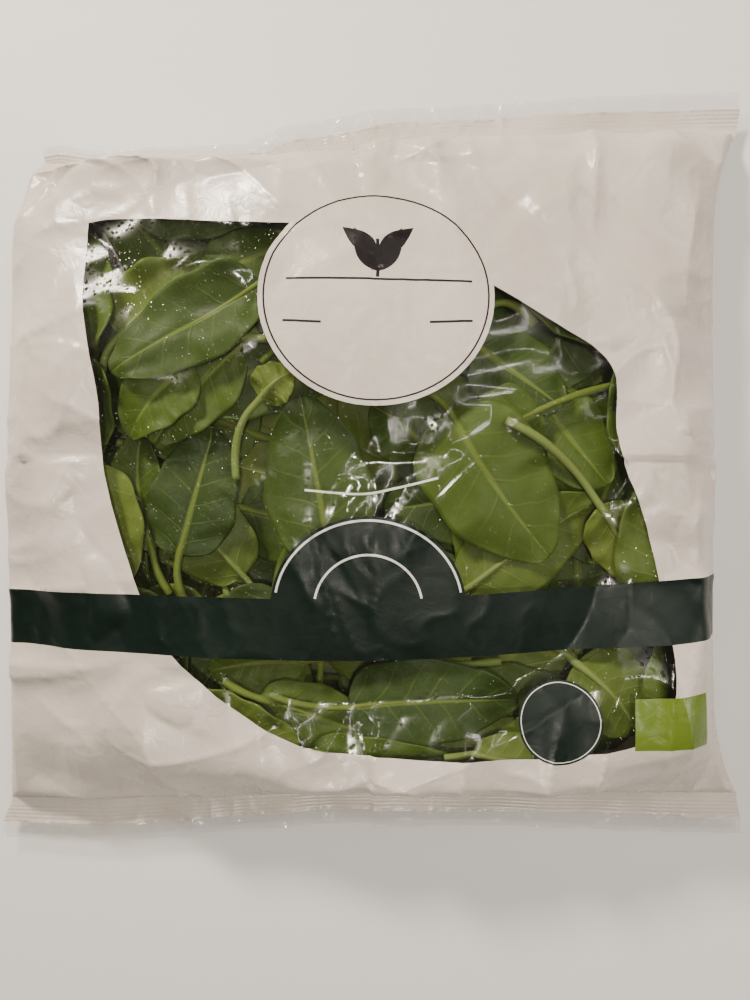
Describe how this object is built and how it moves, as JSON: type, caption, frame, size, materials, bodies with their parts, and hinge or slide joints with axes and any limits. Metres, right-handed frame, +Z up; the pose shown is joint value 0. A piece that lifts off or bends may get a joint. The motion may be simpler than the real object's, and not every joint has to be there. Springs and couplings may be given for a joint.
{
  "type": "bag of spinach leaves",
  "caption": "Sealed pillow bag of thin printed film with a clear window, lying flat and filled with loose spinach leaves.",
  "frame": {"origin": "under the middle of the bag, on the surface that it lies on", "axes": "+X to the right across the front, +Y towards the top seal, +Z up out of the front"},
  "size_m": [0.27, 0.2732, 0.0446],
  "materials": {
    "printed_film": "thin white printed film, satin, softly creased",
    "clear_film": "thin clear film, glossy, creased",
    "dark_green_print": "dark green ink on film",
    "light_green_print": "light green ink on film",
    "black_print": "black ink on film",
    "leaf_upper": "fresh leaf, upper side, satin, veined",
    "leaf_underside": "fresh leaf, underside, paler, raised veins"
  },
  "bodies": {
    "root": {"film_front": "printed_film", "film_back": "printed_film", "fin_seal": "printed_film", "top_seal": "clear_film", "bottom_seal": "clear_film", "leaf_front_01": "leaf_upper", "leaf_front_02": "leaf_upper", "leaf_front_03": "leaf_upper", "leaf_front_04": "leaf_upper", "leaf_front_05": "leaf_upper", "leaf_front_06": "leaf_upper", "leaf_front_07": "leaf_upper", "leaf_front_08": "leaf_upper", "leaf_front_09": "leaf_upper", "leaf_front_10": "leaf_upper", "leaf_front_11": "leaf_upper", "leaf_front_12": "leaf_underside", "leaf_front_13": "leaf_underside", "leaf_front_14": "leaf_upper", "leaf_front_15": "leaf_upper", "leaf_front_16": "leaf_upper", "leaf_front_17": "leaf_underside", "leaf_front_18": "leaf_underside", "leaf_front_19": "leaf_upper", "leaf_front_20": "leaf_upper", "leaf_front_21": "leaf_upper", "leaf_front_22": "leaf_upper", "leaf_front_23": "leaf_underside", "leaf_front_24": "leaf_upper", "leaf_front_25": "leaf_underside", "leaf_front_26": "leaf_underside", "leaf_front_27": "leaf_upper", "leaf_inner_01": "leaf_upper", "leaf_inner_02": "leaf_upper", "leaf_inner_03": "leaf_upper", "leaf_inner_04": "leaf_upper", "leaf_inner_05": "leaf_upper", "leaf_inner_06": "leaf_upper", "leaf_inner_07": "leaf_upper", "leaf_inner_08": "leaf_upper", "leaf_inner_09": "leaf_upper", "leaf_inner_10": "leaf_upper", "leaf_inner_11": "leaf_upper", "leaf_inner_12": "leaf_upper", "leaf_inner_13": "leaf_upper", "leaf_inner_14": "leaf_upper", "leaf_inner_15": "leaf_upper", "leaf_inner_16": "leaf_upper", "leaf_inner_17": "leaf_upper", "leaf_inner_18": "leaf_upper", "leaf_inner_19": "leaf_upper", "leaf_inner_20": "leaf_upper", "leaf_inner_21": "leaf_upper", "leaf_inner_22": "leaf_upper", "leaf_inner_23": "leaf_upper", "leaf_inner_24": "leaf_upper", "leaf_inner_25": "leaf_upper", "leaf_inner_26": "leaf_upper"}
  },
  "joints": []
}
